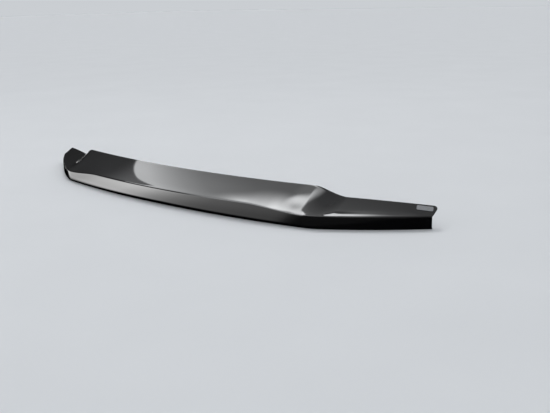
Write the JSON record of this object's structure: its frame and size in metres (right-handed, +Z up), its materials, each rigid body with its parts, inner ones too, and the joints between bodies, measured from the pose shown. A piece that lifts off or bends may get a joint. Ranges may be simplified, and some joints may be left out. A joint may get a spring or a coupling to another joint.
{
  "type": "hood bug deflector",
  "caption": "Low smoke-acrylic shield that wraps the front edge of a hood, with a raised middle, swept wings and foam tape inside.",
  "frame": {"origin": "centre plane of the vehicle, midway between lip and rear edge, at the level of the lower edge", "axes": "+X to the vehicle's left side, -Y forward, +Z up"},
  "size_m": [1.5, 0.2552, 0.0943],
  "materials": {
    "smoke_acrylic": "dark smoke acrylic, moulded gloss",
    "foam_tape": "matt acrylic foam, closed cell",
    "plate": "satin, fine brushed"
  },
  "bodies": {
    "root": {"deflector_shell": "smoke_acrylic", "rear_tape_middle_left": "foam_tape", "rear_tape_middle_right": "foam_tape", "rear_tape_wing_left": "foam_tape", "rear_tape_wing_right": "foam_tape", "lip_tape_middle_left": "foam_tape", "lip_tape_middle_right": "foam_tape", "lip_tape_wing_left": "foam_tape", "lip_tape_wing_right": "foam_tape", "end_plate": "plate"}
  },
  "joints": []
}
